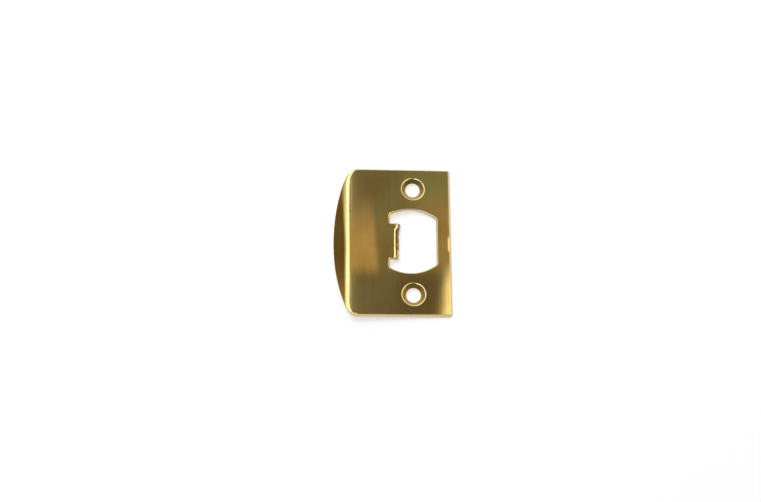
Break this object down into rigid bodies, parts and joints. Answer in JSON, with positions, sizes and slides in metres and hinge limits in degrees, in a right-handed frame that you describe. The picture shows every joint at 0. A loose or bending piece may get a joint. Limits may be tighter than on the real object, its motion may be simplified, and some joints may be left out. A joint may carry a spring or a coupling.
{
  "type": "door strike plate",
  "caption": "Full-lip brass door strike plate with a barrel-shaped latch opening, a bent adjusting tang, countersunk screw holes and a curved lip folded back along one side.",
  "frame": {"origin": "on the back face, on the screw centreline midway between the screw holes", "axes": "+Z out of the show face, away from the jamb; +Y up the jamb along the screw centreline; the folded lip is on the -X side and drops below the back face"},
  "size_m": [0.0447, 0.058, 0.0062],
  "materials": {
    "polished_brass": "polished with fine lengthwise brushing"
  },
  "bodies": {
    "root": {"strike_plate": "polished_brass"}
  },
  "joints": []
}
